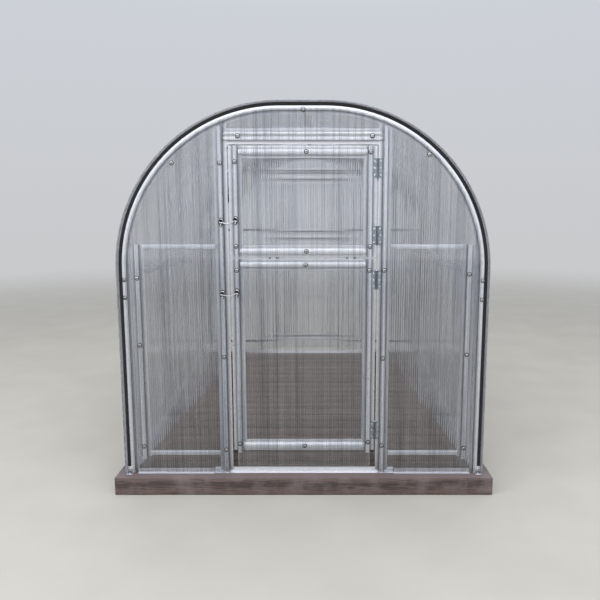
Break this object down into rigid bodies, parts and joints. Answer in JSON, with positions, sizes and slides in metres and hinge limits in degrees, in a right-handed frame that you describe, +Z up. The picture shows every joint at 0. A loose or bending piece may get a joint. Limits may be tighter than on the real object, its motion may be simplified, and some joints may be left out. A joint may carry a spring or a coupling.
{
  "type": "polycarbonate greenhouse",
  "caption": "Tunnel greenhouse with a hat-profile steel frame, bent twin-wall polycarbonate roof, a stable-type door in two hinged leaves and a timber base with a boarded floor.",
  "frame": {"origin": "centre of the timber base, on the level on which it stands", "axes": "+Z up, -Y out of the front door, +X to the right seen from the front"},
  "size_m": [2.1, 3.14, 2.13],
  "materials": {
    "galvanised_frame": "hot-dip galvanised sheet steel, dull satin with faint spangle",
    "zinc_fittings": "bright zinc-plated steel",
    "end_polycarbonate": "clear twin-wall polycarbonate with upright flutes",
    "roof_polycarbonate": "clear twin-wall polycarbonate with flutes that run round the arch",
    "gasket": "black EPDM",
    "stained_beams": "dark brown stained softwood",
    "floor_boards": "dark brown stained floor boards"
  },
  "bodies": {
    "root": {"base_end_beams": "stained_beams", "base_side_beams": "stained_beams", "deck": "floor_boards", "deck_joists": "stained_beams", "side_sole_rails": "galvanised_frame", "front_hoop": "galvanised_frame", "rear_hoop": "galvanised_frame", "middle_hoops": "galvanised_frame", "ridge_purlin": "galvanised_frame", "side_purlins": "galvanised_frame", "roof_sheet": "roof_polycarbonate", "edge_gaskets": "gasket", "front_jambs": "galvanised_frame", "front_transom": "galvanised_frame", "front_posts": "galvanised_frame", "front_braces": "galvanised_frame", "front_sheet_left": "end_polycarbonate", "front_sheet_right": "end_polycarbonate", "front_sheet_top": "end_polycarbonate", "rear_jambs": "galvanised_frame", "rear_transom": "galvanised_frame", "rear_posts": "galvanised_frame", "rear_braces": "galvanised_frame", "rear_wall_sheets": "end_polycarbonate", "end_sole_rails": "galvanised_frame", "door_sills": "galvanised_frame", "corner_brackets": "galvanised_frame", "hinge_plates": "zinc_fittings", "hinge_pins": "zinc_fittings", "latch_eyes": "zinc_fittings", "rear_leaf_stiles": "galvanised_frame", "rear_leaf_rails": "galvanised_frame", "rear_leaf_sheets": "end_polycarbonate", "rear_hinges": "zinc_fittings", "rear_hooks": "zinc_fittings"},
    "upper_leaf": {"upper_stiles": "galvanised_frame", "upper_rails": "galvanised_frame", "upper_sheet": "end_polycarbonate", "upper_hinge_leaves": "zinc_fittings", "upper_hook": "zinc_fittings"},
    "lower_leaf": {"lower_stiles": "galvanised_frame", "lower_rails": "galvanised_frame", "lower_sheet": "end_polycarbonate", "lower_hinge_leaves": "zinc_fittings", "lower_hook": "zinc_fittings"}
  },
  "joints": [
    {"name": "upper_leaf_hinge", "type": "hinge", "parent": "root", "child": "upper_leaf", "pos_m": [0.397, -1.4887, 1.61], "axis": [0, 0, 1], "range_deg": [0, 100]},
    {"name": "lower_leaf_hinge", "type": "hinge", "parent": "root", "child": "lower_leaf", "pos_m": [0.397, -1.4887, 0.77], "axis": [0, 0, 1], "range_deg": [0, 100]}
  ]
}
